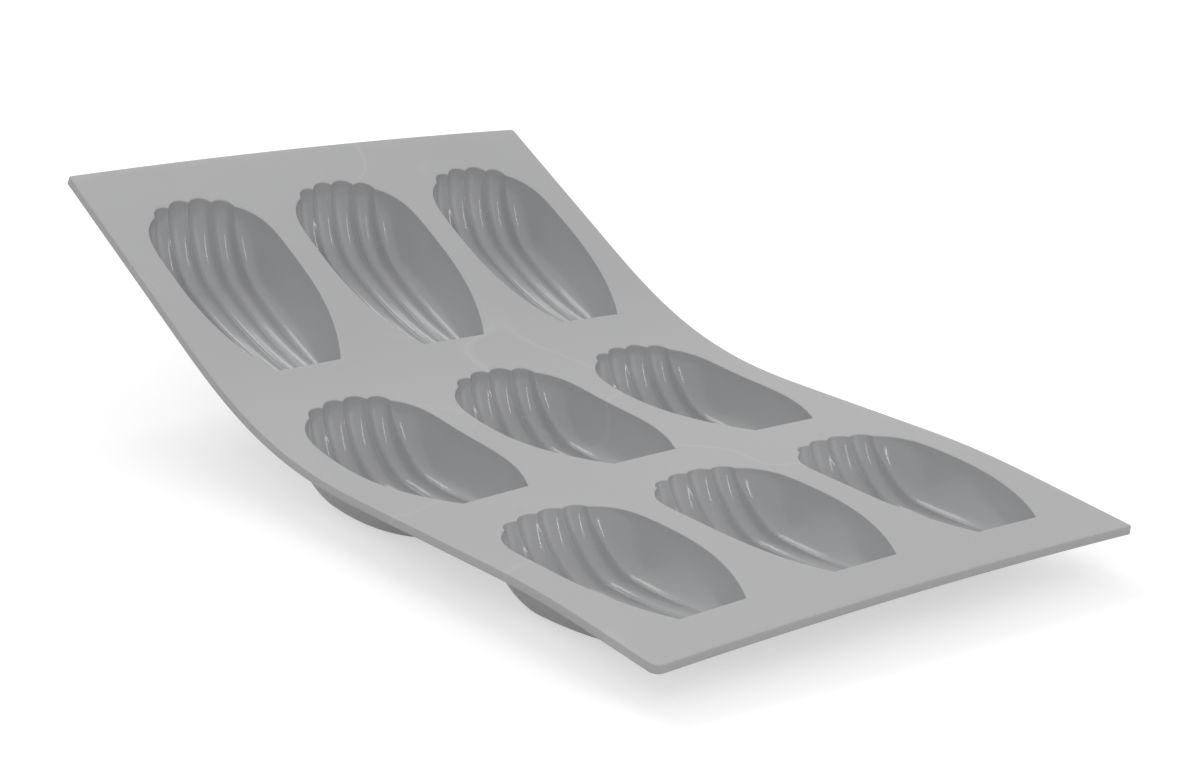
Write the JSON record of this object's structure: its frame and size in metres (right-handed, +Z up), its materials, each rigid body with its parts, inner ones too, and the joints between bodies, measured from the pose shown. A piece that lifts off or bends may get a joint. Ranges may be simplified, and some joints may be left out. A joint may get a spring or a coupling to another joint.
{
  "type": "madeleine mould",
  "caption": "Flexible silicone baking mould: ribbed scallop shell cups hang in rows from a thin sheet that bends along its length and folds at a web between rows.",
  "frame": {"origin": "middle of the sheet's outline seen from above, on the table that the front and middle rows rest on", "axes": "+Z up, +Y along the sheet from the front row to the raised back row, +X to the right seen from the front"},
  "size_m": [0.1756, 0.2924, 0.0743],
  "materials": {
    "silicone": "satin moulded silicone, light neutral grey"
  },
  "bodies": {
    "middle_row": {"middle_row_sheet": "silicone", "front_web": "silicone", "back_web": "silicone", "middle_left_cup": "silicone", "middle_middle_cup": "silicone", "middle_right_cup": "silicone"},
    "front_row": {"front_row_sheet": "silicone", "front_left_cup": "silicone", "front_middle_cup": "silicone", "front_right_cup": "silicone"},
    "back_row": {"back_row_sheet": "silicone", "back_left_cup": "silicone", "back_middle_cup": "silicone", "back_right_cup": "silicone"}
  },
  "joints": [
    {"name": "front_web_fold", "type": "hinge", "parent": "middle_row", "child": "front_row", "pos_m": [-0.00028, -0.04368, 0.01731], "axis": [-1, -0.0002, -0.0077], "range_deg": [-60, 90], "stiffness_Nm_per_rad": 0.3, "springref_deg": 5.73, "deforming": ["front_web"]},
    {"name": "back_web_fold", "type": "hinge", "parent": "middle_row", "child": "back_row", "pos_m": [-0.00029, 0.05088, 0.02445], "axis": [0.9996, 0.0041, -0.0281], "range_deg": [-75, 62], "stiffness_Nm_per_rad": 0.3, "springref_deg": 5.73, "deforming": ["back_web"]}
  ]
}
